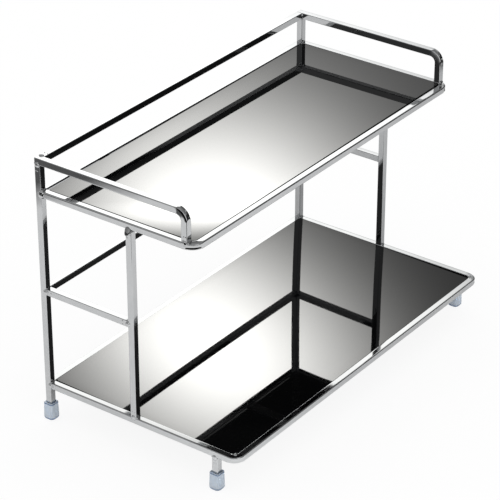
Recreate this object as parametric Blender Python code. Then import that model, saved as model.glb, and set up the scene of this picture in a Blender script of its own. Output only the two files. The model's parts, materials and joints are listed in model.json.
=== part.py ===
"""Two-tier storage rack: a welded square-bar frame, two drop-in glass panels and four foot caps.

Metres, +Z up, front towards -Y. The origin is at the middle of the rack's outline, on the surface it stands on.
"""

import math

import bmesh
import bpy
from mathutils import Vector

# Frame bar
BAR = 0.0063
BAR_EDGE_ROUND = 0.0008
WELD_GAP = 0.0003

# Outline of the frame, over the bars
WIDTH = 0.400
UPPER_DEPTH = 0.175
LOWER_DEPTH = 0.218

# Open heights between the bars, from the foot caps up
LEG_SHOWING = 0.0172
LOWER_WINDOW = 0.0927
UPPER_WINDOW = 0.0917
GUARD_WINDOW = 0.0252

# Bends, measured on the inside of the bar
UPPER_BEND_INSIDE = 0.0057
LOWER_BEND_INSIDE = 0.0042
GUARD_BEND_INSIDE = 0.0052

# Places along the sides
FRONT_POST_DEPTH_SHARE = 0.6075
GUARD_SETBACK = 0.0084
LEG_SETBACK = 0.0212

# Panels and the strips that carry them
PANEL_THICKNESS = 0.004
PANEL_GAP = 0.0005
UPPER_PANEL_REAR_GAP = 0.0026
PANEL_REAR_CORNER = 0.003
PANEL_EDGE_ROUND = 0.0003
STRIP_WIDTH = 0.012
STRIP_THICKNESS = 0.002
STRIP_EDGE_ROUND = 0.0003
STRIP_PLACE_SHARE = 0.27

# Foot caps
CAP_HEIGHT = 0.016
CAP_FLOOR = 0.004
CAP_WALL = 0.0016
CAP_FIT_GAP = 0.0003
CAP_CORNER_ROUND = 0.0026
CAP_FOOT_ROUND_SHARE = 0.75
CAP_RIM_ROUND_SHARE = 0.5

# Facets
EDGE_STEPS = 2
BEND_STEPS = 8
CORNER_STEPS = 4
FOOT_STEPS = 4
RIM_STEPS = 3
QUARTER_TURN = math.pi / 2
SHARP_ANGLE = math.radians(50)
MOST_ROUND_SHARE = 0.45

# Levels of the bars, worked out from the foot caps up
LOWER_TOP = CAP_HEIGHT + LEG_SHOWING + BAR
MIDDLE_TOP = LOWER_TOP + LOWER_WINDOW + BAR
UPPER_TOP = MIDDLE_TOP + UPPER_WINDOW + BAR
GUARD_TOP = UPPER_TOP + GUARD_WINDOW + BAR

# Outer faces of the frame, with the origin in the middle of the outline that the rear caps widen
CAP_OVERHANG = CAP_FIT_GAP + CAP_WALL
SIDE = WIDTH / 2
REAR = (LOWER_DEPTH - CAP_OVERHANG) / 2
UPPER_FRONT = REAR - UPPER_DEPTH
LOWER_FRONT = REAR - LOWER_DEPTH
FRONT_POST_FRONT = REAR - UPPER_DEPTH * FRONT_POST_DEPTH_SHARE
GUARD_FRONT = UPPER_FRONT + GUARD_SETBACK
LEG_FRONT = LOWER_FRONT + LEG_SETBACK

# Centre lines of the bars, and where a bar stops short of the one that it is welded to
SIDE_LINE = SIDE - BAR / 2
REAR_LINE = REAR - BAR / 2
FRONT_POST_LINE = FRONT_POST_FRONT + BAR / 2
GUARD_LEG_LINE = GUARD_FRONT + BAR / 2
LEG_LINE = LEG_FRONT + BAR / 2
BETWEEN_SIDES = SIDE - BAR - WELD_GAP
BEFORE_REAR = REAR - BAR - WELD_GAP
LEG_END = CAP_FLOOR + WELD_GAP

LEFT_AND_RIGHT = (("left", -1), ("right", 1))
ALONG_X = Vector((1, 0, 0))
ALONG_Y = Vector((0, 1, 0))
ALONG_Z = Vector((0, 0, 1))

CHROME = {"colour": (0.80, 0.81, 0.82), "roughness": 0.07, "metallic": 1.0}
BLACK_GLASS = {"colour": (0.006, 0.006, 0.007), "roughness": 0.03, "metallic": 0.0}
CLEAR_PLASTIC = {"colour": (0.62, 0.68, 0.74), "roughness": 0.25, "metallic": 0.0}
BLACK_COAT = {"colour": (0.012, 0.012, 0.012), "roughness": 0.6, "metallic": 0.0}


def clear_scene():
    for thing in list(bpy.data.objects):
        bpy.data.objects.remove(thing, do_unlink=True)


def own_material(name, finish):
    """A material of the piece's own, in one of the rack's four finishes."""
    material = bpy.data.materials.new(name)
    material.use_nodes = True
    shader = material.node_tree.nodes["Principled BSDF"]
    shader.inputs["Base Color"].default_value = (*finish["colour"], 1)
    shader.inputs["Roughness"].default_value = finish["roughness"]
    shader.inputs["Metallic"].default_value = finish["metallic"]
    material.diffuse_color = (*finish["colour"], 1)
    return material


def rounded_outline(low, high, rounds, steps):
    """A rectangle's outline with a round at each corner, anticlockwise from its low corner.

    rounds holds the radii at (low, low), (high, low), (high, high) and (low, high)."""
    corners = (
        (low[0], low[1], 1, 1),
        (high[0], low[1], -1, 1),
        (high[0], high[1], -1, -1),
        (low[0], high[1], 1, -1),
    )
    most = MOST_ROUND_SHARE * min(high[0] - low[0], high[1] - low[1])
    points = []
    for turn, ((x, y, inward_x, inward_y), wanted) in enumerate(zip(corners, rounds)):
        radius = min(wanted, most)
        centre_x = x + inward_x * radius
        centre_y = y + inward_y * radius
        for step in range(steps + 1):
            angle = math.pi + QUARTER_TURN * (turn + step / steps)
            points.append((centre_x + radius * math.cos(angle), centre_y + radius * math.sin(angle)))
    return points


def square_outline(half, corner_round, steps):
    """A centred square with four like rounds."""
    return rounded_outline((-half, -half), (half, half), [corner_round] * 4, steps)


def loft(name, rings, finish, place, parent):
    """One closed body through rings of equally many points, closed flat at both ends."""
    mesh = bmesh.new()
    loops = [[mesh.verts.new(point) for point in ring] for ring in rings]
    for lower, upper in zip(loops, loops[1:]):
        for here in range(len(lower)):
            after = (here + 1) % len(lower)
            mesh.faces.new((lower[here], lower[after], upper[after], upper[here]))
    mesh.faces.new(loops[0])
    mesh.faces.new(loops[-1])
    bmesh.ops.recalc_face_normals(mesh, faces=mesh.faces)
    data = bpy.data.meshes.new(name)
    mesh.to_mesh(data)
    mesh.free()
    data.shade_smooth()
    data.set_sharp_from_angle(angle=SHARP_ANGLE)
    data.materials.append(own_material(name, finish))
    piece = bpy.data.objects.new(name, data)
    bpy.context.collection.objects.link(piece)
    piece.location = place
    piece.parent = parent
    return piece


def centre_line(corners, bend_inside):
    """The points and directions along a bar: straight runs, with a quarter bend at each inner corner."""
    runs = [(after - before).normalized() for before, after in zip(corners, corners[1:])]
    radius = bend_inside + BAR / 2
    line = [(corners[0], runs[0])]
    for corner, arriving, leaving in zip(corners[1:-1], runs, runs[1:]):
        centre = corner + radius * (leaving - arriving)
        for step in range(BEND_STEPS + 1):
            angle = QUARTER_TURN * step / BEND_STEPS
            point = centre + radius * (math.sin(angle) * arriving - math.cos(angle) * leaving)
            line.append((point, math.cos(angle) * arriving + math.sin(angle) * leaving))
    line.append((corners[-1], runs[-1]))
    return line


def bar(name, parent, corners, across, bend_inside=0.0, outline=None, finish=CHROME):
    """A bar along its corners, which lie in the plane that across is square to; its origin is its first end."""
    corners = [Vector(corner) for corner in corners]
    start = corners[0]
    outline = outline or square_outline(BAR / 2, BAR_EDGE_ROUND, EDGE_STEPS)
    rings = []
    for point, direction in centre_line([corner - start for corner in corners], bend_inside):
        sideways = direction.cross(across)
        rings.append([point + u * sideways + v * across for u, v in outline])
    return loft(name, rings, finish, start, parent)


def posts_and_legs(rack):
    """The uprights: rear posts from cap to guard rail, front posts between the tiers, and the front legs."""
    for side, sign in LEFT_AND_RIGHT:
        x = sign * SIDE_LINE
        rear_end = GUARD_TOP - BAR - WELD_GAP
        bar(f"{side}_rear_post", rack, [(x, REAR_LINE, LEG_END), (x, REAR_LINE, rear_end)], ALONG_X)
        post_start = LOWER_TOP + WELD_GAP
        post_end = UPPER_TOP - BAR - WELD_GAP
        post_ends = [(x, FRONT_POST_LINE, post_start), (x, FRONT_POST_LINE, post_end)]
        bar(f"{side}_front_post", rack, post_ends, ALONG_X)
        leg_end = LOWER_TOP - BAR - WELD_GAP
        bar(f"{side}_front_leg", rack, [(x, LEG_LINE, LEG_END), (x, LEG_LINE, leg_end)], ALONG_X)


def ring_bar(name, rack, top, front, bend_inside):
    """A tier's left side, front and right side, bent from one bar that butts on both rear posts."""
    z = top - BAR / 2
    front_line = front + BAR / 2
    corners = [
        (-SIDE_LINE, BEFORE_REAR, z),
        (-SIDE_LINE, front_line, z),
        (SIDE_LINE, front_line, z),
        (SIDE_LINE, BEFORE_REAR, z),
    ]
    bar(name, rack, corners, ALONG_Z, bend_inside)


def back_bar(name, rack, top):
    """A bar across the back, between what stands at its two ends."""
    z = top - BAR / 2
    bar(name, rack, [(-BETWEEN_SIDES, REAR_LINE, z), (BETWEEN_SIDES, REAR_LINE, z)], ALONG_Z)


def middle_side_bars(rack):
    z = MIDDLE_TOP - BAR / 2
    front_end = FRONT_POST_FRONT + BAR + WELD_GAP
    for side, sign in LEFT_AND_RIGHT:
        x = sign * SIDE_LINE
        bar(f"{side}_middle_bar", rack, [(x, BEFORE_REAR, z), (x, front_end, z)], ALONG_Z)


def side_guard_rails(rack):
    """Each lies on its rear post and bends down to stand on the upper ring's side."""
    z = GUARD_TOP - BAR / 2
    for side, sign in LEFT_AND_RIGHT:
        x = sign * SIDE_LINE
        corners = [(x, REAR, z), (x, GUARD_LEG_LINE, z), (x, GUARD_LEG_LINE, UPPER_TOP + WELD_GAP)]
        bar(f"{side}_guard_rail", rack, corners, ALONG_X, GUARD_BEND_INSIDE)


def support_strips(tier, rack, top, front):
    """Two flat strips, coated black, from the tier's front bar to its rear bar, under the panel."""
    z = top - PANEL_THICKNESS - WELD_GAP - STRIP_THICKNESS / 2
    front_end = front + BAR + WELD_GAP
    half_width = STRIP_WIDTH / 2
    half_height = STRIP_THICKNESS / 2
    low = (-half_width, -half_height)
    high = (half_width, half_height)
    outline = rounded_outline(low, high, [STRIP_EDGE_ROUND] * 4, EDGE_STEPS)
    for side, sign in LEFT_AND_RIGHT:
        x = sign * STRIP_PLACE_SHARE * WIDTH
        ends = [(x, BEFORE_REAR, z), (x, front_end, z)]
        bar(f"{tier}_{side}_support_strip", rack, ends, ALONG_Z, outline=outline, finish=BLACK_COAT)


def glass_panel(name, rack, top, front, rear_gap, bend_inside):
    """A plate that drops into its ring, flush with the bars' tops, its origin in the middle underneath."""
    half_width = SIDE - BAR - PANEL_GAP
    front_edge = front + BAR + PANEL_GAP
    rear_edge = REAR - BAR - rear_gap
    middle = (front_edge + rear_edge) / 2
    half_depth = (rear_edge - front_edge) / 2
    front_corner = bend_inside - PANEL_GAP
    rounds = (front_corner, front_corner, PANEL_REAR_CORNER, PANEL_REAR_CORNER)
    rings = []
    for z, inset in (
        (0, PANEL_EDGE_ROUND),
        (PANEL_EDGE_ROUND, 0),
        (PANEL_THICKNESS - PANEL_EDGE_ROUND, 0),
        (PANEL_THICKNESS, PANEL_EDGE_ROUND),
    ):
        low = (inset - half_width, inset - half_depth)
        high = (half_width - inset, half_depth - inset)
        outline = rounded_outline(low, high, rounds, CORNER_STEPS)
        rings.append([(x, y, z) for x, y in outline])
    loft(name, rings, BLACK_GLASS, (0, middle, top - PANEL_THICKNESS), rack)


def foot_cap(name, rack, x, y):
    """A square cup pushed up over a leg's end: rounded foot, rounded rim, and a socket that the leg stands in."""
    half = BAR / 2 + CAP_OVERHANG
    foot_round = CAP_CORNER_ROUND * CAP_FOOT_ROUND_SHARE
    rim_round = CAP_WALL * CAP_RIM_ROUND_SHARE
    levels = []
    for step in range(FOOT_STEPS + 1):
        angle = QUARTER_TURN * step / FOOT_STEPS
        levels.append((foot_round * (1 - math.cos(angle)), foot_round * (1 - math.sin(angle))))
    for step in range(RIM_STEPS + 1):
        angle = QUARTER_TURN * step / RIM_STEPS
        levels.append((CAP_HEIGHT - rim_round * (1 - math.sin(angle)), rim_round * (1 - math.cos(angle))))
    rings = []
    for z, inset in levels:
        outline = square_outline(half - inset, CAP_CORNER_ROUND - inset, CORNER_STEPS)
        rings.append([(u, v, z) for u, v in outline])
    socket = square_outline(BAR / 2 + CAP_FIT_GAP, BAR_EDGE_ROUND + CAP_FIT_GAP, CORNER_STEPS)
    for z in (CAP_HEIGHT, CAP_FLOOR):
        rings.append([(u, v, z) for u, v in socket])
    loft(name, rings, CLEAR_PLASTIC, (x, y, 0), rack)


def foot_caps(rack):
    for side, sign in LEFT_AND_RIGHT:
        foot_cap(f"{side}_rear_foot_cap", rack, sign * SIDE_LINE, REAR_LINE)
        foot_cap(f"{side}_front_foot_cap", rack, sign * SIDE_LINE, LEG_LINE)


def tier(name, rack, top, front, rear_gap, bend_inside):
    """One tier: ring bar, rear bar, two strips and the panel on them."""
    ring_bar(f"{name}_ring_bar", rack, top, front, bend_inside)
    back_bar(f"{name}_rear_bar", rack, top)
    support_strips(name, rack, top, front)
    glass_panel(f"{name}_glass_panel", rack, top, front, rear_gap, bend_inside)


def main():
    clear_scene()
    rack = bpy.data.objects.new("storage_rack", None)
    bpy.context.collection.objects.link(rack)
    posts_and_legs(rack)
    tier("lower", rack, LOWER_TOP, LOWER_FRONT, PANEL_GAP, LOWER_BEND_INSIDE)
    tier("upper", rack, UPPER_TOP, UPPER_FRONT, UPPER_PANEL_REAR_GAP, UPPER_BEND_INSIDE)
    middle_side_bars(rack)
    back_bar("back_middle_bar", rack, MIDDLE_TOP)
    side_guard_rails(rack)
    back_bar("back_guard_rail", rack, GUARD_TOP)
    foot_caps(rack)


main()
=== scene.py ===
"""Looks of the two-tier storage rack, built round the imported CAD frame.

Chrome bars with rounded edges, true bends and weld beads, black glass panels, clear foot caps and a white
studio. All lengths are in metres, in the CAD frame: +X along the rack's width, +Y to its back, +Z up from
the worktop."""
import json
import math

import bmesh
import bpy
from mathutils import Matrix, Vector, noise

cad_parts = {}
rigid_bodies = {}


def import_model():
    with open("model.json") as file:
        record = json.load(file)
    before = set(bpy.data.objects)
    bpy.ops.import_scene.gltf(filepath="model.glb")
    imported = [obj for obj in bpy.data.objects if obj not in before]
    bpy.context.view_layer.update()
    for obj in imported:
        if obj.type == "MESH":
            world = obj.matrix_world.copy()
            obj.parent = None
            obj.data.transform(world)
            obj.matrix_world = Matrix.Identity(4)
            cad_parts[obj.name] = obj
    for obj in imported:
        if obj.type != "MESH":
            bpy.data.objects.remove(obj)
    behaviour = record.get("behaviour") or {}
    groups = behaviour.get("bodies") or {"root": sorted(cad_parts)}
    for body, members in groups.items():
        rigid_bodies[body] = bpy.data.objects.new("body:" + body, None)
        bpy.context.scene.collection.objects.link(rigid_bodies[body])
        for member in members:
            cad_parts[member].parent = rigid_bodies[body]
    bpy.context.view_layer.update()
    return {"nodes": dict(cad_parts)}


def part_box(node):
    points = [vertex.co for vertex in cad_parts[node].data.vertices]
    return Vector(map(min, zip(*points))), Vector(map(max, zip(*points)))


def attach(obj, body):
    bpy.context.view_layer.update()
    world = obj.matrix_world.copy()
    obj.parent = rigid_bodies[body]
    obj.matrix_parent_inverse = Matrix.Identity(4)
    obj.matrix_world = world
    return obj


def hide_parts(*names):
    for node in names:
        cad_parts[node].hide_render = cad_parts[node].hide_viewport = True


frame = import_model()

MM = 0.001
QUARTER_TURN = math.pi / 2
SHARP_ANGLE = math.radians(50)
SIDES = (("left", -1), ("right", 1))
X, Y, Z = Vector((1, 0, 0)), Vector((0, 1, 0)), Vector((0, 0, 1))
ALONG_X, ALONG_Y, ALONG_Z = range(3)
BOTH_ENDS = (True, True)
TOP_END = (False, True)
CORNER_STEPS = 8

# The rack's lines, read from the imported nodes
post_low, post_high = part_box("right_rear_post")
front_post_low, front_post_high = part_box("right_front_post")
leg_low, leg_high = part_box("right_front_leg")
guard_low, guard_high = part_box("right_guard_rail")
BAR = post_high.x - post_low.x
HALF = BAR / 2
SIDE_LINE = (post_low.x + post_high.x) / 2
REAR_LINE = (post_low.y + post_high.y) / 2
FRONT_POST_LINE = (front_post_low.y + front_post_high.y) / 2
LEG_LINE = (leg_low.y + leg_high.y) / 2
GUARD_LEG_LINE = guard_low.y + HALF
GUARD_LEVEL = guard_high.z - HALF
MIDDLE_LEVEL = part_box("back_middle_bar")[1].z - HALF

# Bars: the rounds of their edges and ends, and the inner radii of their bends. An end that is welded on goes
# a little further than its CAD node, into the bar that it meets
EDGE_ROUND = 0.5 * MM
RING_OUTER_ROUND = 1.0 * MM
EDGE_STEPS = 5
FLAT_CUTS = 7
END_ROUND = 0.35 * MM
END_STEPS = (0.0, 0.5, 1.0)
WELD_REACH = 0.35 * MM
UPPER_BEND_INSIDE = 5.7 * MM
LOWER_BEND_INSIDE = 4.2 * MM
GUARD_BEND_INSIDE = 5.2 * MM
BEND_STEPS = 20

# A bent bar is thicker inside its bend and thinner outside, and its outer edges are drawn in. Its outer face
# sinks in by the crease, or swells where that is negative, most along a line at the crease's place, which is
# counted in half bars from the middle of the face
BEND_THICKENING = 0.075
BEND_OUTER_DROOP = 0.4 * MM
CREASE_PLACE = -0.2
RING_BEND_CREASE = 0.42 * MM
GUARD_BEND_CREASE = -0.3 * MM

# All of that starts this far before the bend, and is in full over the bend's middle
BEND_RUN_OUT = 3.0 * MM
BEND_START = 0.25
BEND_GROWTH = 3.0

# Weld beads, as half sizes across the bar, along it and out from its face, and their scales at some joints.
# A lens lies below its joint, turned to face upwards, and TILT_LIFT of what its end leans in moves it out
FILLET = (3.1 * MM, 1.25 * MM, 1.25 * MM)
PUDDLE = (2.7 * MM, 2.6 * MM, 1.5 * MM)
LENS = (2.5 * MM, 4.3 * MM, 0.9 * MM)
LENS_TILT = math.radians(22)
LENS_SCALE = 1.1
LENS_DROP = 1.2 * MM
UPPER_END_SCALES = {"left": 1.3, "right": 0.8}
LOWER_END_SCALE = 1.05
REAR_BAR_SCALE = 0.75
BACK_BAR_SCALE = 0.9
BEAD_SINK = 0.15 * MM
TILT_LIFT = 0.6
CORNER_DROP = (1.6 * MM, 1.6 * MM, 1.1 * MM)
CORNER_DROP_SINK = 0.6 * MM
CORNER_DROP_SEED = 3.3

# A bead's lumps and ripples, as shares of its size. Their noise moves on by these steps from bead to bead
BEAD_RINGS = 12
BEAD_SEGMENTS = 20
BEAD_LUMPINESS = 0.22
BEAD_LUMP_SCALE = 1.6
BEAD_LUMP_STEPS = (7.3, 1.7, 3.1)
BEAD_RIPPLE = 0.07
BEAD_RIPPLE_PITCH = 1.5 * MM

# Spatter: small drops beside a bead. They lie up to SPATTER_ACROSS half bars to a side and SPATTER_BACK half
# bars back along the bar that is welded on
SPATTER = 2
SPATTER_SIZE = 0.5 * MM
SPATTER_VARIETY = 0.4
SPATTER_FLATNESS = 0.8
SPATTER_ACROSS = 0.6
SPATTER_BACK = 1.9

# Panels. Their front corners follow the ring's bends, a gap inside them
PANEL_REAR_CORNER = 3.0 * MM
PANEL_GAP = 0.5 * MM
PANEL_EDGE_ROUND = 0.35 * MM
PANEL_EDGE_STEPS = 4
PANEL_GRID = 10 * MM
CUT_PRECISION = 1e-7
PANEL_TURN = math.radians(0.27)
PANEL_BACK = 0.45 * MM

# How a panel's top rises over its node's: at the middle, by slopes along X and Y and by bows along X and Y,
# each as the rise over a half span
HALF_SPAN = 200 * MM
LEVEL_PANEL = (0.0, 0.0, 0.0, 0.0, 0.0)
LOWER_PANEL_RISES = (0.2 * MM, 0.3 * MM, 2.5 * MM, -1.1 * MM, 1.1 * MM)

# The upper panel's unevenness is in its material's bump alone: slopes along X and Y, and a dip towards the
# left front corner, which grows as the square of the way beyond a line across that corner
UPPER_GLASS_LEAN = (-1.2 * MM / HALF_SPAN, -0.9 * MM / HALF_SPAN, 0.0)
DIP_DIRECTION = Vector((-0.731, -0.682, 0.0))
DIP_START = 103 * MM
UPPER_GLASS_DIP = 0.41

# Foot caps. The flare's top, the walls' levels and the taper's run are shares of a cap's height
CAP_BULGE = 0.25 * MM
CAP_FLARE = 0.95 * MM
CAP_FLARE_TOP = 0.8
CAP_RIM_RISE = 1.2 * MM
CAP_FLOOR = 4.0 * MM
CAP_CORNER_ROUND = 2.0 * MM
CAP_FOOT_CORNER_ROUND = 4.6 * MM
CAP_FOOT_ROUND = 2.4 * MM
CAP_RIM_ROUND = 0.4 * MM
CAP_RIM_TAPER = 0.15 * MM
CAP_WALL_LEVELS = (0.35, 0.5, 0.65, 0.8)
CAP_TAPER_RUN = 0.6
CAP_SOCKET_GAP = 0.3 * MM
CAP_ROUND_STEPS = 6

# Painted shade round the caps: darker blue bands under the rim and at the foot, as the levels between which
# they come and go
CAP_RIM_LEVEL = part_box("left_front_foot_cap")[1].z + CAP_RIM_RISE
RIM_SHADE_COMES = (CAP_RIM_LEVEL - 1.5 * MM, CAP_RIM_LEVEL - 0.8 * MM)
RIM_SHADE_GOES = (CAP_RIM_LEVEL - 0.2 * MM, CAP_RIM_LEVEL - 0.1 * MM)
FOOT_SHADE_GOES = (1.2 * MM, 3.4 * MM)

# Camera, at the photograph's angle
CAMERA_TARGET = Vector((-7.886 * MM, 17.306 * MM, 120.0 * MM))
CAMERA_AZIMUTH = math.radians(-53.711)
CAMERA_ELEVATION = math.radians(29.119)
CAMERA_DISTANCE = 2.169284
CAMERA_LENS = 167.297
CAMERA_SENSOR = 36.0
CAMERA_REACH = 50.0


# Materials

# Shades are red, green and blue. A relief is the height of a bump's full range. The drawn lines have a scale
# along the bar and one round it, and their height is a share of the chrome's relief
CLEAR_CHROME = (0.535, 0.545, 0.553)
HAZY_CHROME = (0.575, 0.582, 0.588)
DRAWN_LINES = (14.0, 2600.0, 1.0)
LINE_HEIGHT = 0.004
CHROME_RELIEF = 0.05 * MM
DUST_SHARE = 0.012
GLASS_BLACK = (0.0020, 0.0021, 0.0023, 1.0)
GLASS_DUST = (0.5, 0.5, 0.48, 1.0)
PLASTIC_CLEAN = (0.72, 0.82, 0.93)
PLASTIC_SCUFFED = (0.82, 0.89, 0.96)
# The darker blue of the painted shade bands round the foot caps
PLASTIC_PAINTED_SHADE = (0.10, 0.18, 0.34, 1.0)
PLASTIC_DEPTH = (0.42, 0.58, 0.80, 1.0)
PLASTIC_RELIEF = 0.0012 * MM
COAT_RELIEF = 0.03 * MM


class Nodes:
    """A short way to write the node tree of a material or of the world."""

    def __init__(self, owner):
        owner.use_nodes = True
        self.tree = owner.node_tree
        self.tree.nodes.clear()

    def add(self, kind, settings=None, **inputs):
        """One node. Settings are its own fields, and inputs its sockets by name, as values or as sockets."""
        node = self.tree.nodes.new(kind)
        for name, value in (settings or {}).items():
            setattr(node, name, value)
        for name, value in inputs.items():
            self.put(node.inputs[name.replace("_", " ")], value)
        return node

    def put(self, socket, value):
        """Links a socket, or sets it to a constant."""
        if isinstance(value, bpy.types.NodeSocket):
            self.tree.links.new(value, socket)
        else:
            socket.default_value = value

    def math(self, operation, *values):
        node = self.tree.nodes.new("ShaderNodeMath")
        node.operation = operation
        for socket, value in zip(node.inputs, values):
            self.put(socket, value)
        return node.outputs[0]

    def plus(self, total, *values):
        for value in values:
            total = self.math("ADD", total, value)
        return total

    def times(self, product, *values):
        for value in values:
            product = self.math("MULTIPLY", product, value)
        return product

    def vector(self, operation, *values):
        node = self.tree.nodes.new("ShaderNodeVectorMath")
        node.operation = operation
        sockets = (node.inputs[0], node.inputs["Scale"]) if operation == "SCALE" else node.inputs
        for socket, value in zip(sockets, values):
            self.put(socket, value)
        return node.outputs[1] if operation == "DOT_PRODUCT" else node.outputs[0]

    def spread(self, value, source, target=(0.0, 1.0)):
        """value, carried from the source range to the target range and held at its ends."""
        node = self.add("ShaderNodeMapRange")
        for socket, number in zip(node.inputs, (value, *source, *target)):
            self.put(socket, number)
        return node.outputs[0]

    def mix(self, share, first, second, kind="FLOAT"):
        """first where share is 0, second where it is 1, and the blend between. Colours need RGBA."""
        node = self.add("ShaderNodeMix", {"data_type": kind}, Factor=share, A=first, B=second)
        return node.outputs["Result"]

    def noise(self, place, scale, detail=2.0, roughness=0.5):
        node = self.add("ShaderNodeTexNoise", Vector=place, Scale=scale, Detail=detail, Roughness=roughness)
        return node.outputs["Fac"]

    def ramp(self, value, stops):
        """A colour for each value, blended between stops of a position and a colour."""
        node = self.add("ShaderNodeValToRGB", Fac=value)
        elements = node.color_ramp.elements
        while len(elements) < len(stops):
            elements.new(1.0)
        for element, (position, colour) in zip(elements, stops):
            element.position = position
            element.color = (*colour, 1.0)
        return node.outputs["Color"]

    def grey_ramp(self, value, stops):
        """A ramp with stops of a position and a level of grey."""
        return self.ramp(value, [(position, (level,) * 3) for position, level in stops])

    def both(self, first, second):
        """Two shaders, added up."""
        node = self.tree.nodes.new("ShaderNodeAddShader")
        self.put(node.inputs[0], first.outputs[0])
        self.put(node.inputs[1], second.outputs[0])
        return node.outputs[0]

    def close(self, output, **sockets):
        """The output node, which ends a tree."""
        node = self.tree.nodes.new(output)
        for name, value in sockets.items():
            self.put(node.inputs[name], value)


def chrome_plate(name, dullness, brightness=1.0):
    """Polished chrome plate: drawn lines along the bar, a slight orange-peel swell and patches of haze.

    The lines follow the UV map named Drawn, which the bars have and the weld beads don't."""
    material = bpy.data.materials.new(name)
    nodes = Nodes(material)
    place = nodes.add("ShaderNodeTexCoord").outputs["Object"]
    along = nodes.add("ShaderNodeUVMap", {"uv_map": "Drawn"}).outputs["UV"]
    lines = nodes.noise(nodes.vector("MULTIPLY", along, DRAWN_LINES), scale=1.0, detail=3.0, roughness=0.6)
    haze = nodes.noise(place, scale=55.0, detail=4.0, roughness=0.6)
    swell = nodes.noise(place, scale=42.0, detail=1.0, roughness=0.4)
    clear = [shade * brightness for shade in CLEAR_CHROME]
    hazy = [shade * brightness for shade in HAZY_CHROME]
    haze_roughness = nodes.spread(haze, (0.35, 0.75), (0.0, 0.035))
    line_roughness = nodes.spread(lines, (0.3, 0.8), (0.0, 0.02))
    height = nodes.plus(swell, nodes.times(lines, LINE_HEIGHT))
    bump = nodes.add("ShaderNodeBump", Strength=1.0, Distance=CHROME_RELIEF, Height=height)
    shader = nodes.add(
        "ShaderNodeBsdfPrincipled",
        Base_Color=nodes.ramp(haze, ((0.3, clear), (0.7, hazy))),
        Metallic=1.0,
        Roughness=nodes.plus(haze_roughness, line_roughness, dullness),
        Normal=bump.outputs["Normal"],
    )
    nodes.close("ShaderNodeOutputMaterial", Surface=shader.outputs[0])
    return material


def black_glass(name, lean=(0.0, 0.0, 0.0), dip=0.0):
    """Polished black glass, opaque through its depth, with a faint film of dust and wiping on top.

    lean is its surface's slope along X and Y, and dip how fast it falls off at the left front corner."""
    material = bpy.data.materials.new(name)
    nodes = Nodes(material)
    place = nodes.add("ShaderNodeTexCoord").outputs["Object"]
    wiped = nodes.vector("MULTIPLY", place, (9.0, 26.0, 9.0))
    film = nodes.noise(wiped, scale=1.0, detail=5.0, roughness=0.62)
    specks = nodes.noise(place, scale=900.0, detail=1.0, roughness=0.5)
    dust = nodes.times(nodes.spread(specks, (0.66, 0.8)), nodes.spread(film, (0.4, 0.7), (0.2, 1.0)))
    beyond = nodes.math("SUBTRACT", nodes.vector("DOT_PRODUCT", place, DIP_DIRECTION), DIP_START)
    dipped = nodes.times(nodes.math("POWER", nodes.math("MAXIMUM", beyond, 0.0), 2.0), dip)
    height = nodes.math("SUBTRACT", nodes.vector("DOT_PRODUCT", place, lean), dipped)
    uneven = nodes.add("ShaderNodeBump", Strength=1.0, Distance=1.0, Height=height)
    shader = nodes.add(
        "ShaderNodeBsdfPrincipled",
        Base_Color=nodes.mix(nodes.times(dust, DUST_SHARE), GLASS_BLACK, GLASS_DUST, "RGBA"),
        Roughness=nodes.spread(film, (0.3, 0.75), (0.012, 0.035)),
        IOR=1.25,
        Normal=uneven.outputs["Normal"],
    )
    nodes.close("ShaderNodeOutputMaterial", Surface=shader.outputs[0])
    return material


def clear_plastic():
    """Milky, faintly blue soft plastic, smooth but dulled by handling and bluer through its depth, with
    bands of painted shade.
    """
    material = bpy.data.materials.new("foot_plastic")
    nodes = Nodes(material)
    place = nodes.add("ShaderNodeTexCoord").outputs["Object"]
    grain = nodes.noise(place, scale=1400.0, detail=2.0, roughness=0.5)
    scuff = nodes.noise(place, scale=260.0, detail=4.0, roughness=0.6)
    bump = nodes.add("ShaderNodeBump", Strength=0.4, Distance=PLASTIC_RELIEF, Height=grain)
    level = nodes.add("ShaderNodeSeparateXYZ", Vector=place).outputs["Z"]
    # Bands of painted shade, a darker blue: under the rim, and at the foot where the cap meets the floor
    rim = nodes.times(nodes.spread(level, RIM_SHADE_COMES), nodes.spread(level, RIM_SHADE_GOES, (1.0, 0.0)))
    foot = nodes.spread(level, FOOT_SHADE_GOES, (1.0, 0.0))
    wall = nodes.ramp(scuff, ((0.3, PLASTIC_CLEAN), (0.7, PLASTIC_SCUFFED)))
    shader = nodes.add(
        "ShaderNodeBsdfPrincipled",
        Base_Color=nodes.mix(nodes.math("MAXIMUM", rim, foot), wall, PLASTIC_PAINTED_SHADE, "RGBA"),
        Roughness=nodes.spread(scuff, (0.3, 0.7), (0.14, 0.24)),
        IOR=1.45,
        Transmission_Weight=0.42,
        Normal=bump.outputs["Normal"],
    )
    depth = nodes.add("ShaderNodeVolumeAbsorption", Color=PLASTIC_DEPTH, Density=100.0)
    nodes.close("ShaderNodeOutputMaterial", Surface=shader.outputs[0], Volume=depth.outputs[0])
    return material


def black_coat():
    """Thin black coat over the metal: a fine orange peel, a little greyer where it is rubbed."""
    material = bpy.data.materials.new("strip_coat")
    nodes = Nodes(material)
    place = nodes.add("ShaderNodeTexCoord").outputs["Object"]
    peel = nodes.noise(place, scale=900.0)
    rub = nodes.noise(place, scale=60.0, detail=4.0, roughness=0.6)
    bump = nodes.add("ShaderNodeBump", Strength=0.6, Distance=COAT_RELIEF, Height=peel)
    shader = nodes.add(
        "ShaderNodeBsdfPrincipled",
        Base_Color=nodes.grey_ramp(rub, ((0.4, 0.010), (0.75, 0.020))),
        Roughness=nodes.spread(rub, (0.3, 0.7), (0.62, 0.48)),
        Normal=bump.outputs["Normal"],
    )
    nodes.close("ShaderNodeOutputMaterial", Surface=shader.outputs[0])
    return material


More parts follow.
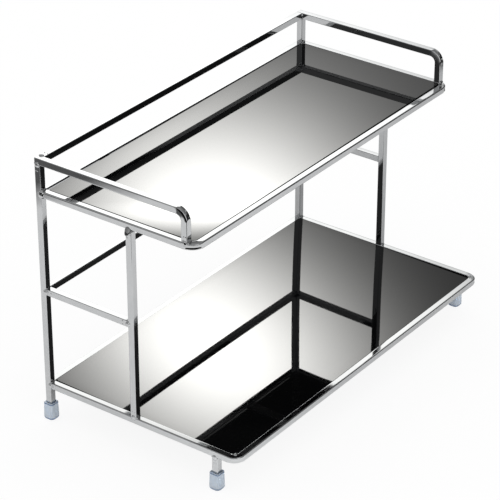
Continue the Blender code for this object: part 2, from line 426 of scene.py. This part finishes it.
CHROME = chrome_plate("chrome_bar", dullness=0.022)
WELD_CHROME = chrome_plate("chrome_weld", dullness=0.06)
# Chrome at half brightness and duller, for the lenses on the front post tops
DIMMED_CHROME = chrome_plate("chrome_dimmed", dullness=0.09, brightness=0.5)
LOWER_GLASS = black_glass("lower_black_glass")
UPPER_GLASS = black_glass("upper_black_glass", UPPER_GLASS_LEAN, UPPER_GLASS_DIP)
CLEAR_PLASTIC = clear_plastic()
BLACK_COAT = black_coat()


# Meshes


def rounded_outline(low, high, rounds, steps):
    """A rectangle's outline with a round at each corner, anticlockwise from its low corner.

    rounds holds the radii at (low, low), (high, low), (high, high) and (low, high)."""
    corners = (
        (low[0], low[1], 1, 1),
        (high[0], low[1], -1, 1),
        (high[0], high[1], -1, -1),
        (low[0], high[1], 1, -1),
    )
    points = []
    for turn, ((x, y, inward_x, inward_y), radius) in enumerate(zip(corners, rounds)):
        centre_x = x + inward_x * radius
        centre_y = y + inward_y * radius
        for step in range(steps + 1):
            angle = math.pi + QUARTER_TURN * (turn + step / steps)
            points.append((centre_x + radius * math.cos(angle), centre_y + radius * math.sin(angle)))
    return points


def square_outline(half, corner_round, steps):
    return rounded_outline((-half, -half), (half, half), [corner_round] * 4, steps)


def bending_outline(outward, outer_round):
    """A bar's square outline with points along its flats too, so that they can sink in or swell in a bend.

    outward is the sign of the side that lies outside the bend, whose edges may be rounder."""
    rounds = (EDGE_ROUND, outer_round, outer_round, EDGE_ROUND)
    if outward < 0:
        rounds = (outer_round, EDGE_ROUND, EDGE_ROUND, outer_round)
    outline = rounded_outline((-HALF, -HALF), (HALF, HALF), rounds, EDGE_STEPS)
    points = []
    for place, point in enumerate(outline):
        points.append(point)
        if place % (EDGE_STEPS + 1) == EDGE_STEPS:
            after = outline[(place + 1) % len(outline)]
            for cut in range(1, FLAT_CUTS + 1):
                share = cut / (FLAT_CUTS + 1)
                points.append(tuple(here + (there - here) * share for here, there in zip(point, after)))
    return points


def finish_piece(name, mesh, material, body, nodes=()):
    """Makes a piece from a bmesh, with flat faces kept flat between their rounded edges."""
    bmesh.ops.recalc_face_normals(mesh, faces=mesh.faces)
    data = bpy.data.meshes.new(name)
    mesh.to_mesh(data)
    mesh.free()
    data.shade_smooth()
    data.set_sharp_from_angle(angle=SHARP_ANGLE)
    data.materials.append(material)
    piece = bpy.data.objects.new(name, data)
    bpy.context.scene.collection.objects.link(piece)
    weighted = piece.modifiers.new("flat_faces", "WEIGHTED_NORMAL")
    weighted.keep_sharp = True
    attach(piece, body)
    if nodes:
        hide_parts(*nodes)


def loft(rings):
    """One closed bmesh through rings of equally many points, closed flat at both ends.

    Its UV map, named Drawn, runs along the loft in u and round it in v, in metres."""
    mesh = bmesh.new()
    drawn = mesh.loops.layers.uv.new("Drawn")
    loops = [[mesh.verts.new(point) for point in ring] for ring in rings]
    lengths = [0.0]
    for before, after in zip(rings, rings[1:]):
        lengths.append(lengths[-1] + (Vector(after[0]) - Vector(before[0])).length)
    widest = max(rings, key=lambda ring: (Vector(ring[0]) - Vector(ring[len(ring) // 2])).length)
    around = [0.0]
    for here in range(len(widest)):
        after = widest[(here + 1) % len(widest)]
        around.append(around[-1] + (Vector(after) - Vector(widest[here])).length)
    for row, (lower, upper) in enumerate(zip(loops, loops[1:])):
        for here in range(len(lower)):
            after = (here + 1) % len(lower)
            face = mesh.faces.new((lower[here], lower[after], upper[after], upper[here]))
            corners = ((row, here), (row, here + 1), (row + 1, here + 1), (row + 1, here))
            for corner, (level, step) in zip(face.loops, corners):
                corner[drawn].uv = (lengths[level], around[step])
    for ring, level in ((loops[0], 0), (loops[-1], -1)):
        face = mesh.faces.new(ring)
        for corner in face.loops:
            corner[drawn].uv = (lengths[level], 0.0)
    return mesh


def smooth_step(value):
    value = min(1.0, max(0.0, value))
    return value * value * (3 - 2 * value)


def centre_line(corners, bend_inside):
    """Places along a bar, as (point, direction, bend, rounding).

    From 0 to 1, bend says how bent the bar is there, and rounding how far out it is in an end's round."""
    runs = [(after - before).normalized() for before, after in zip(corners, corners[1:])]
    radius = bend_inside + HALF
    line = []
    for step in END_STEPS:
        line.append((corners[0] + runs[0] * END_ROUND * step, runs[0], 0.0, 1.0 - step))
    for corner, arriving, leaving in zip(corners[1:-1], runs, runs[1:]):
        centre = corner + radius * (leaving - arriving)
        start = centre - radius * leaving
        line.append((start - arriving * BEND_RUN_OUT, arriving, 0.0, 0.0))
        for step in range(BEND_STEPS + 1):
            share = step / BEND_STEPS
            angle = QUARTER_TURN * share
            point = centre + radius * (math.sin(angle) * arriving - math.cos(angle) * leaving)
            direction = math.cos(angle) * arriving + math.sin(angle) * leaving
            rising = smooth_step(BEND_START + BEND_GROWTH * share)
            falling = smooth_step(BEND_START + BEND_GROWTH * (1 - share))
            line.append((point, direction, rising * falling, 0.0))
        end = centre + radius * arriving
        line.append((end + leaving * BEND_RUN_OUT, leaving, 0.0, 0.0))
    for step in reversed(END_STEPS):
        line.append((corners[-1] - runs[-1] * END_ROUND * step, runs[-1], 0.0, 1.0 - step))
    return line


def bent(u, v, outward, bend, crease):
    """A point of a bar's outline where the bar is bent. u is square to the bend's axis and v along it."""
    out = u * outward / HALF
    outer = max(0.0, out)
    thickness = 1 - bend * BEND_THICKENING * out
    droop = bend * BEND_OUTER_DROOP * outer**2 * v / HALF
    beside = v / HALF - CREASE_PLACE
    sunk = crease * (1 - abs(beside) / (1 - CREASE_PLACE if beside > 0 else 1 + CREASE_PLACE))
    return u - bend * outer * sunk * outward, v * thickness - droop


def bar(name, corners, across, bend_inside=0.0, crease=0.0, outer_round=EDGE_ROUND):
    """A square bar along its corners, which lie in the plane that across is square to.

    bend_inside is the inner radius of its bends, and crease how far its outer face sinks in there. Its outer
    edges have a round of outer_round, in the bends and between them."""
    corners = [Vector(corner) for corner in corners]
    outward = 1
    outline = square_outline(HALF, EDGE_ROUND, EDGE_STEPS)
    if bend_inside:
        arriving = corners[1] - corners[0]
        turning = arriving.cross(across).dot(corners[2] - corners[1])
        outward = -1 if turning > 0 else 1
        outline = bending_outline(outward, outer_round)
    rings = []
    for point, direction, bend, rounding in centre_line(corners, bend_inside):
        sideways = direction.cross(across)
        shrink = 1 - (1 - math.sqrt(1 - rounding**2)) * END_ROUND / HALF
        places = [bent(u, v, outward, bend, crease) for u, v in outline]
        rings.append([point + u * shrink * sideways + v * shrink * across for u, v in places])
    finish_piece(name + "_chrome", loft(rings), CHROME, "frame", [name])


def bead(mesh, centre, across, along, out, half_sizes, seed):
    """One lumpy weld bead, half sunk in the bars, with ripples across it where the pool moved along."""
    rows = []
    for ring in range(1, BEAD_RINGS):
        polar = math.pi * ring / BEAD_RINGS
        row = []
        for segment in range(BEAD_SEGMENTS):
            turn = 2 * math.pi * segment / BEAD_SEGMENTS
            shape = Vector((
                math.cos(polar),
                math.sin(polar) * math.cos(turn),
                math.sin(polar) * math.sin(turn),
            ))
            shift = Vector([seed * step for step in BEAD_LUMP_STEPS])
            lump = 1 + BEAD_LUMPINESS * noise.noise(shape * BEAD_LUMP_SCALE + shift)
            phase = 2 * math.pi * shape.x * half_sizes[0] / BEAD_RIPPLE_PITCH
            ripple = BEAD_RIPPLE * math.sin(phase + seed) * math.sin(polar)
            offset = [shape[axis] * half_sizes[axis] * (lump + ripple) for axis in range(3)]
            row.append(mesh.verts.new(centre + across * offset[0] + along * offset[1] + out * offset[2]))
        rows.append(row)
    poles = [mesh.verts.new(centre + across * half_sizes[0] * sign) for sign in (1, -1)]
    for lower, upper in zip(rows, rows[1:]):
        for here in range(BEAD_SEGMENTS):
            after = (here + 1) % BEAD_SEGMENTS
            mesh.faces.new((lower[here], lower[after], upper[after], upper[here]))
    for pole, row in zip(poles, (rows[0], rows[-1])):
        for here in range(BEAD_SEGMENTS):
            mesh.faces.new((pole, row[here], row[(here + 1) % BEAD_SEGMENTS]))


def spatter(mesh, place, across, along, out, seed):
    """Small drops beside a bead, back along the bar that is welded on."""
    for drop in range(SPATTER):
        turn = 5.1 * seed + 2.3 * drop
        shift = (across * math.cos(turn) * SPATTER_ACROSS - along * SPATTER_BACK) * HALF
        size = SPATTER_SIZE * (1.0 + SPATTER_VARIETY * math.sin(3 * turn))
        bead(mesh, place + shift, across, along, out, (size, size, size * SPATTER_FLATNESS), seed + drop)


def weld(
    name, contact, along, flush=(), fillets=(), scale=1.0, puddle=PUDDLE, tilt=0.0, material=WELD_CHROME
):
    """The beads of one joint. contact is the middle of the end that is welded on, and along points out.

    On the flush sides, where the two bars' faces are level, lies a puddle with spatter, and tilt turns it to
    face upwards. On the sides named in fillets a bead lies in the corner. scale is that of the beads."""
    mesh = bmesh.new()
    contact = Vector(contact)
    beads = [(side, puddle, tilt) for side in flush] + [(side, FILLET, 0.0) for side in fillets]
    for number, (side, half_sizes, lean) in enumerate(beads):
        turned = Matrix.Rotation(lean, 3, side.cross(Z))
        axes = [turned @ axis for axis in (along.cross(side), along, side)]
        # Each bead has a number of its own for its lumps and ripples, from the joint's place and name
        seed = 0.37 * number + 13.1 * contact.x + 7.7 * contact.y + 29.3 * contact.z + len(name)
        sizes = [size * scale for size in half_sizes]
        stand = HALF - BEAD_SINK + math.sin(lean) * sizes[1] * TILT_LIFT
        bead(mesh, contact + side * stand, *axes, sizes, seed)
        if number < len(flush):
            spatter(mesh, contact + side * HALF, *axes, seed)
    finish_piece(name, mesh, material, "frame")


# The rack's pieces


def ring_bar(name, bend_inside):
    low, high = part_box(name)
    level = high.z - HALF
    front = low.y + HALF
    rear = high.y + WELD_REACH
    left_side = [(-SIDE_LINE, rear, level), (-SIDE_LINE, front, level)]
    right_side = [(SIDE_LINE, front, level), (SIDE_LINE, rear, level)]
    bar(name, left_side + right_side, Z, bend_inside, RING_BEND_CREASE, RING_OUTER_ROUND)


def straight_bar(name, axis, across, reaches):
    """A straight bar on its node's centre line. reaches says which ends, low and high, go into a weld."""
    low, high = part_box(name)
    middle = (low + high) / 2
    ends = []
    for corner, sign, reach in ((low, -1, reaches[0]), (high, 1, reaches[1])):
        end = middle.copy()
        end[axis] = corner[axis] + sign * (WELD_REACH if reach else 0.0)
        ends.append(end)
    bar(name, ends, across)


def guard_rail(side, sign):
    name = side + "_guard_rail"
    x = sign * SIDE_LINE
    foot = guard_low.z - WELD_REACH
    corners = ((x, guard_high.y, GUARD_LEVEL), (x, GUARD_LEG_LINE, GUARD_LEVEL), (x, GUARD_LEG_LINE, foot))
    bar(name, corners, X, GUARD_BEND_INSIDE, GUARD_BEND_CREASE)


def bars():
    ring_bar("lower_ring_bar", LOWER_BEND_INSIDE)
    ring_bar("upper_ring_bar", UPPER_BEND_INSIDE)
    for name in ("lower_rear_bar", "upper_rear_bar", "back_middle_bar", "back_guard_rail"):
        straight_bar(name, ALONG_X, Z, BOTH_ENDS)
    for side, sign in SIDES:
        straight_bar(side + "_rear_post", ALONG_Z, X, TOP_END)
        straight_bar(side + "_front_post", ALONG_Z, X, BOTH_ENDS)
        straight_bar(side + "_front_leg", ALONG_Z, X, TOP_END)
        straight_bar(side + "_middle_bar", ALONG_Y, Z, BOTH_ENDS)
        guard_rail(side, sign)


def welds():
    post_face = REAR_LINE - HALF
    tops = {"lower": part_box("lower_ring_bar")[1].z, "upper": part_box("upper_ring_bar")[1].z}
    for side, sign in SIDES:
        x = sign * SIDE_LINE
        out = sign * X
        inner_face = sign * (SIDE_LINE - HALF)
        for tier, top in tops.items():
            level = top - HALF
            size = UPPER_END_SCALES[side] if tier == "upper" else LOWER_END_SCALE
            rear = (inner_face, REAR_LINE, level)
            weld(f"weld_{side}_{tier}_ring_end", (x, post_face, level), Y, [out], [Z, -Z, -out], size)
            weld(f"weld_{side}_{tier}_rear_bar", rear, out, [Y], [Z, -Z], REAR_BAR_SCALE)
        weld(f"weld_{side}_middle_rear", (x, post_face, MIDDLE_LEVEL), Y, [out], [Z, -Z])
        weld(f"weld_{side}_middle_front", (x, FRONT_POST_LINE + HALF, MIDDLE_LEVEL), -Y, [out], [Z, -Z])
        back = (inner_face, REAR_LINE, MIDDLE_LEVEL)
        weld(f"weld_{side}_back_middle", back, out, [Y], [Z, -Z], BACK_BAR_SCALE)
        back = (inner_face, REAR_LINE, GUARD_LEVEL)
        lumps = [Z, Y] if side == "left" else [Y]
        weld(f"weld_{side}_back_guard", back, out, lumps, [-Y, -Z], BACK_BAR_SCALE)
        weld(f"weld_{side}_post_top", (x, REAR_LINE, GUARD_LEVEL - HALF), Z, [out, Y], [-Y, -out])
        weld(
            f"weld_{side}_front_post_top",
            (x, FRONT_POST_LINE, tops["upper"] - BAR - LENS_DROP),
            Z,
            [out],
            [Y, -Y, -out],
            LENS_SCALE,
            LENS,
            LENS_TILT,
            DIMMED_CHROME,
        )
        weld(f"weld_{side}_front_post_foot", (x, FRONT_POST_LINE, tops["lower"]), -Z, [out], [Y, -Y])
        weld(f"weld_{side}_leg_top", (x, LEG_LINE, tops["lower"] - BAR), Z, [out], [Y, -Y, -out])
        weld(f"weld_{side}_guard_foot", (x, GUARD_LEG_LINE, tops["upper"]), -Z, [out], [Y, -Y])
        corner_drop(side, sign, tops["lower"])


def corner_drop(side, sign, level):
    """A drop of weld metal on top of the lower ring, inside its front bend."""
    mesh = bmesh.new()
    into_corner = LOWER_BEND_INSIDE * (1 - math.sqrt(0.5)) - CORNER_DROP_SINK
    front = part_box("lower_ring_bar")[0].y + BAR
    place = Vector((sign * (SIDE_LINE - HALF - into_corner), front + into_corner, level))
    bead(mesh, place, X, Y, Z, CORNER_DROP, CORNER_DROP_SEED)
    finish_piece(f"weld_{side}_corner_drop", mesh, WELD_CHROME, "frame")


def support_strips():
    """The strips under the panels keep their CAD shape and get a black coat."""
    for name, node in frame["nodes"].items():
        if name.endswith("support_strip"):
            node.data.materials.clear()
            node.data.materials.append(BLACK_COAT)


def top_rise(rises, x, y):
    """How far a panel's top stands above its node's, at x and y from its middle."""
    lift, slope_x, slope_y, bow_x, bow_y = rises
    x /= HALF_SPAN
    y /= HALF_SPAN
    return lift + slope_x * x + slope_y * y + bow_x * x**2 + bow_y * y**2


def glass_panel(name, body, material, bend_inside, rises=LEVEL_PANEL, turn=0.0, back=0.0):
    """A black glass panel with rounded corners and smoothly rounded edges, whose top may lean and bow.

    turn swings it about its middle and back moves it along Y, inside its ring."""
    low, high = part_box(name)
    middle = (low + high) / 2
    front_corner = bend_inside - PANEL_GAP
    rounds = (front_corner, front_corner, PANEL_REAR_CORNER, PANEL_REAR_CORNER)
    rings = []
    for bottom in (True, False):
        for step in range(PANEL_EDGE_STEPS + 1):
            share = step / PANEL_EDGE_STEPS
            angle = QUARTER_TURN * (share if bottom else 1 - share)
            inset = PANEL_EDGE_ROUND * (1 - math.sin(angle))
            rise = PANEL_EDGE_ROUND * (1 - math.cos(angle))
            z = low.z + rise if bottom else high.z - rise
            outline = rounded_outline(
                (low.x + inset, low.y + inset),
                (high.x - inset, high.y - inset),
                [radius - inset for radius in rounds],
                CORNER_STEPS,
            )
            rings.append([(x, y, z) for x, y in outline])
    mesh = loft(rings)
    for axis, start, end in ((X, low.x, high.x), (Y, low.y, high.y)):
        cuts = int((end - start) / PANEL_GRID)
        for cut in range(1, cuts):
            place = axis * (start + (end - start) * cut / cuts)
            everything = mesh.verts[:] + mesh.edges[:] + mesh.faces[:]
            bmesh.ops.bisect_plane(mesh, geom=everything, dist=CUT_PRECISION, plane_co=place, plane_no=axis)
    for vertex in mesh.verts:
        share = (vertex.co.z - low.z) / (high.z - low.z)
        vertex.co.z += share * top_rise(rises, vertex.co.x - middle.x, vertex.co.y - middle.y)
    bmesh.ops.rotate(mesh, verts=mesh.verts, cent=middle, matrix=Matrix.Rotation(turn, 3, "Z"))
    bmesh.ops.translate(mesh, verts=mesh.verts, vec=Y * back)
    finish_piece(name.replace("_panel", "_plate"), mesh, material, body, [name])


def foot_cap(name):
    """A moulded square cup: rounded foot, walls that lean in to a rounded rim, and a socket for the leg."""
    low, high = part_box(name)
    middle = (low + high) / 2
    half = (high.x - low.x) / 2 + CAP_BULGE
    height = high.z + CAP_RIM_RISE
    quarter = [QUARTER_TURN * step / CAP_ROUND_STEPS for step in range(CAP_ROUND_STEPS + 1)]
    levels = []
    for angle in quarter:
        levels.append((CAP_FOOT_ROUND * (1 - math.cos(angle)), CAP_FOOT_ROUND * (1 - math.sin(angle))))
    for share in CAP_WALL_LEVELS:
        taper = smooth_step((share - CAP_WALL_LEVELS[0]) / CAP_TAPER_RUN)
        levels.append((height * share, CAP_RIM_TAPER * taper))
    for angle in quarter:
        z = height - CAP_RIM_ROUND * (1 - math.sin(angle))
        levels.append((z, CAP_RIM_TAPER + CAP_RIM_ROUND * (1 - math.cos(angle))))
    rings = []
    for z, inset in levels:
        upward = smooth_step(z / height / CAP_FLARE_TOP)
        corner_round = CAP_FOOT_CORNER_ROUND + (CAP_CORNER_ROUND - CAP_FOOT_CORNER_ROUND) * upward
        reach = half + CAP_FLARE * (1 - upward) - inset
        outline = square_outline(reach, max(corner_round - inset, CAP_RIM_ROUND), CORNER_STEPS)
        rings.append([(middle.x + u, middle.y + v, z) for u, v in outline])
    socket = square_outline(HALF + CAP_SOCKET_GAP, EDGE_ROUND + CAP_SOCKET_GAP, CORNER_STEPS)
    for z in (height, CAP_FLOOR):
        rings.append([(middle.x + u, middle.y + v, z) for u, v in socket])
    finish_piece(name.replace("_cap", "_cup"), loft(rings), CLEAR_PLASTIC, "frame", [name])


# The studio

FLOOR_SIZE = 9.0
FLOOR_LEVEL = -0.1 * MM
SEEN_SHADOW = 0.15
MIRRORED_SHADOW = 1.3
PAPER_WHITE = 0.8
PAPER_GRAIN = 0.01
WORLD_FILL = 0.86

# The white table as metal and glass show it, turned towards the camera. Its edges and its painted shade,
# which darkens it away from the camera, are places along ACROSS and NEAR. Its painted pool of light and
# painted shadow of the rack each have a place in X and Y, a reach and a level
TABLE_TURN = math.radians(47)
ACROSS = Vector((math.cos(TABLE_TURN), -math.sin(TABLE_TURN), 0))
NEAR = Vector((-math.sin(TABLE_TURN), -math.cos(TABLE_TURN), 0))
TABLE_LEFT = -0.653
TABLE_RIGHT = 0.706
TABLE_NEAR = 0.488
TABLE_FAR = -0.45
TABLE_EDGE_SOFTNESS = 0.012
TABLE_LEFT_SOFTNESS = 0.03
TABLE_PAINTED_SHADE_RUN = (-0.25, 0.05)
TABLE_PAINTED_SHADE_LEVELS = (0.68, 0.95)
TABLE_PAINTED_LIGHT_POOL = ((-0.2, -0.1), 0.16, 0.3)
TABLE_PAINTED_RACK_SHADOW = ((0.30, 0.03), 0.13, -0.22)

# The dark floor beside the table, whose level changes from left to right, and the pale backdrop beyond
BESIDE_CHANGE = (0.0, 0.1)
BESIDE_LEVELS = (0.13, 0.05)
BACKDROP_FOOT = -0.585
BACKDROP_LEVEL = 0.85

# The light, square to its direction. The panels and the metal each see a card of their own in its place. It
# has a shift of its middle, half sizes, a roll, a falloff from the middle, a peak and a reach in half sizes
LIGHT_DIRECTION = Vector((-0.7068, -0.5137, -0.4864))
LIGHT_CENTRE = Vector((2.130, 1.690, 1.734))
LIGHT_COLOUR = (1.0, 0.996, 0.968, 1.0)
PANEL_LIGHT = {
    "middle": (-0.025, 0.097, 0.0),
    "half": (0.208, 0.183),
    "roll": -0.419,
    "falloff": 1.85,
    "peak": 33.7,
    "reach": 3.4,
}
METAL_LIGHT = {
    "middle": (0.295, -0.131, 0.05),
    "half": (0.942, 0.345),
    "roll": -0.189,
    "falloff": 7.0,
    "peak": 1.45,
    "reach": 1.6,
}

# The room as reflections show it: its levels by height, from 0 at the horizon to 1 overhead, and three parts
# of it, each with the direction of its middle and an edge between two cosines of the angle from there
ROOM_LEVELS = ((0.0, 0.86), (0.34, 1.04), (0.486, 0.51), (0.56, 0.16), (0.72, 0.29), (1.0, 0.39))
DARK_SIDE = Vector((0.80, -0.50, 0.30)).normalized()
DARK_SIDE_EDGE = (0.55, 0.74)
DARK_SIDE_LEVELS = ((0.24, 0.03), (0.44, 0.10), (0.465, 0.44), (0.53, 0.44), (0.56, 0.12), (1.0, 0.36))
GREY_SIDE = Vector((-0.59, 0.81, 0.0)).normalized()
GREY_SIDE_EDGE = (0.45, 0.9)
GREY_SIDE_LEVEL = 0.48
HIGH_WINDOW = Vector((-0.10, -0.67, 0.74)).normalized()
HIGH_WINDOW_EDGE = (0.962, 0.972)
HIGH_WINDOW_LEVEL = 1.0


def painted_spot(nodes, place, middle, reach, level):
    """A round soft patch of painted light on the table, to be added to its level. A negative level paints
    shade.
    """
    apart = nodes.vector("DIVIDE", nodes.vector("SUBTRACT", place, (*middle, 0.0)), (reach, reach, 1.0))
    distance = nodes.vector("DOT_PRODUCT", apart, apart)
    return nodes.times(nodes.math("EXPONENT", nodes.times(distance, -1.0)), level)


def soft_edge(nodes, value, edge, target=(0.0, 1.0), soft=TABLE_EDGE_SOFTNESS):
    """The change from one level to the other where value passes an edge."""
    return nodes.spread(value, (edge - soft, edge + soft), target)


def table_level(nodes, place):
    """The table's painted light and shade for metal and glass, the dark beside it and the backdrop beyond.
    """
    across = nodes.vector("DOT_PRODUCT", place, ACROSS)
    near = nodes.vector("DOT_PRODUCT", place, NEAR)
    band = nodes.times(soft_edge(nodes, near, TABLE_NEAR, (1.0, 0.0)), soft_edge(nodes, near, TABLE_FAR))
    table = nodes.times(
        band,
        soft_edge(nodes, across, TABLE_LEFT, soft=TABLE_LEFT_SOFTNESS),
        soft_edge(nodes, across, TABLE_RIGHT, (1.0, 0.0)),
    )
    # Painted light on the table: a painted shade darkening it away from the camera, a painted pool of light
    # and a painted shadow of the rack
    white = nodes.plus(
        nodes.spread(near, TABLE_PAINTED_SHADE_RUN, TABLE_PAINTED_SHADE_LEVELS),
        painted_spot(nodes, place, *TABLE_PAINTED_LIGHT_POOL),
        painted_spot(nodes, place, *TABLE_PAINTED_RACK_SHADOW),
    )
    dark = nodes.times(band, nodes.spread(across, BESIDE_CHANGE, BESIDE_LEVELS))
    backdrop = soft_edge(nodes, near, BACKDROP_FOOT, (BACKDROP_LEVEL, 0.0))
    return nodes.plus(nodes.mix(table, dark, white), backdrop)


def white_floor():
    """White paper with a faint shadow. Metal and glass show it as a white table with dark floor round it."""
    material = bpy.data.materials.new("studio_floor")
    nodes = Nodes(material)
    mirrored = nodes.add("ShaderNodeLightPath").outputs["Is Glossy Ray"]
    place = nodes.add("ShaderNodeTexCoord").outputs["Object"]
    paper = nodes.noise(place, scale=120.0, detail=3.0)
    white = nodes.grey_ramp(paper, ((0.3, PAPER_WHITE - PAPER_GRAIN), (0.7, PAPER_WHITE + PAPER_GRAIN)))
    # For metal and glass the floor's level, and the glow that makes it up, carries the table's painted light
    # and shade
    level = nodes.mix(mirrored, 1.0, table_level(nodes, place))
    shadow = nodes.times(nodes.mix(mirrored, SEEN_SHADOW, MIRRORED_SHADOW), level)
    diffuse = nodes.add("ShaderNodeBsdfDiffuse", Color=nodes.vector("SCALE", white, shadow))
    own_light = nodes.math("SUBTRACT", level, nodes.times(shadow, PAPER_WHITE * WORLD_FILL))
    glow = nodes.add("ShaderNodeEmission", Strength=own_light)
    nodes.close("ShaderNodeOutputMaterial", Surface=nodes.both(glow, diffuse))
    return material


def softbox_glow(name, light):
    """A soft light, brightest in its middle, that adds to whatever stands behind it."""
    material = bpy.data.materials.new(name)
    nodes = Nodes(material)
    place = nodes.add("ShaderNodeTexCoord").outputs["Object"]
    spread = nodes.vector("DIVIDE", place, (*light["half"], 1.0))
    distance = nodes.math("POWER", nodes.vector("DOT_PRODUCT", spread, spread), light["falloff"] / 2)
    strength = nodes.times(nodes.math("EXPONENT", nodes.times(distance, -0.5)), light["peak"])
    glow = nodes.add("ShaderNodeEmission", Color=LIGHT_COLOUR, Strength=strength)
    clear = nodes.add("ShaderNodeBsdfTransparent")
    nodes.close("ShaderNodeOutputMaterial", Surface=nodes.both(glow, clear))
    return material


def plane(name, half_x, half_y, material):
    data = bpy.data.meshes.new(name)
    corners = [(-half_x, -half_y, 0), (half_x, -half_y, 0), (half_x, half_y, 0), (-half_x, half_y, 0)]
    data.from_pydata(corners, [], [(0, 1, 2, 3)])
    data.materials.append(material)
    piece = bpy.data.objects.new(name, data)
    bpy.context.scene.collection.objects.link(piece)
    return piece


def softbox(name, light, pieces):
    """A card of soft light that reaches these pieces alone."""
    half_x, half_y = (half * light["reach"] for half in light["half"])
    card = plane(name, half_x, half_y, softbox_glow(name + "_glow", light))
    facing = LIGHT_DIRECTION.normalized()
    level = -Z.cross(facing).normalized()
    upright = facing.cross(level)
    along_level, up, behind = light["middle"]
    middle = LIGHT_CENTRE + level * along_level - upright * up - facing * behind
    sideways = math.cos(light["roll"]) * level - math.sin(light["roll"]) * upright
    turn = Matrix((sideways, facing.cross(sideways), facing)).transposed()
    card.matrix_world = Matrix.Translation(middle) @ turn.to_4x4()
    card.visible_camera = False
    receivers = bpy.data.collections.new(name + "_receivers")
    for piece in pieces:
        receivers.objects.link(piece)
    card.light_linking.receiver_collection = receivers


def studio():
    """The floor and the two cards. The caps and the support strips are lit along with the metal."""
    panels = [piece for piece in bpy.context.scene.objects if piece.name.endswith("_plate")]
    metal = [piece for piece in bpy.context.scene.objects if piece.type == "MESH" and piece not in panels]
    floor = plane("studio_floor", FLOOR_SIZE / 2, FLOOR_SIZE / 2, white_floor())
    floor.location.z = FLOOR_LEVEL
    softbox("panel_softbox", PANEL_LIGHT, panels)
    softbox("metal_softbox", METAL_LIGHT, metal)


def surroundings():
    """A white room with a dark side, as reflections show it. Everything else gets an even white fill."""
    world = bpy.data.worlds.new("studio")
    bpy.context.scene.world = world
    nodes = Nodes(world)
    path = nodes.add("ShaderNodeLightPath").outputs
    direction = nodes.add("ShaderNodeTexCoord").outputs["Generated"]
    height = nodes.add("ShaderNodeSeparateXYZ", Vector=direction).outputs["Z"]
    mirrored = nodes.grey_ramp(height, ROOM_LEVELS)
    for side, edge, level in (
        (GREY_SIDE, GREY_SIDE_EDGE, GREY_SIDE_LEVEL),
        (DARK_SIDE, DARK_SIDE_EDGE, nodes.grey_ramp(height, DARK_SIDE_LEVELS)),
        (HIGH_WINDOW, HIGH_WINDOW_EDGE, HIGH_WINDOW_LEVEL),
    ):
        share = nodes.spread(nodes.vector("DOT_PRODUCT", direction, side), edge)
        mirrored = nodes.mix(share, mirrored, level)
    plain_sight = nodes.math("MAXIMUM", path["Is Camera Ray"], path["Is Transmission Ray"])
    fill = nodes.mix(plain_sight, WORLD_FILL, 1.0)
    strength = nodes.mix(path["Is Glossy Ray"], fill, mirrored)
    background = nodes.add("ShaderNodeBackground", Color=(1.0, 1.0, 1.0, 1.0), Strength=strength)
    nodes.close("ShaderNodeOutputWorld", Surface=background.outputs[0])


def camera():
    back = Vector((
        math.sin(CAMERA_AZIMUTH) * math.cos(CAMERA_ELEVATION),
        -math.cos(CAMERA_AZIMUTH) * math.cos(CAMERA_ELEVATION),
        math.sin(CAMERA_ELEVATION),
    ))
    lens = bpy.data.cameras.new("camera")
    lens.sensor_width = CAMERA_SENSOR
    lens.lens = CAMERA_LENS
    lens.clip_end = CAMERA_REACH
    viewer = bpy.data.objects.new("camera", lens)
    bpy.context.scene.collection.objects.link(viewer)
    viewer.location = CAMERA_TARGET + back * CAMERA_DISTANCE
    viewer.rotation_mode = "QUATERNION"
    viewer.rotation_quaternion = (-back).to_track_quat("-Z", "Y")
    bpy.context.scene.camera = viewer


bars()
welds()
support_strips()
glass_panel("lower_glass_panel", "lower_panel", LOWER_GLASS, LOWER_BEND_INSIDE, LOWER_PANEL_RISES)
glass_panel(
    "upper_glass_panel", "upper_panel", UPPER_GLASS, UPPER_BEND_INSIDE, turn=PANEL_TURN, back=PANEL_BACK
)
for cap in ("left_rear", "right_rear", "left_front", "right_front"):
    foot_cap(cap + "_foot_cap")
studio()
surroundings()
camera()
bpy.context.scene.view_settings.view_transform = "Standard"

bpy.context.view_layer.update()
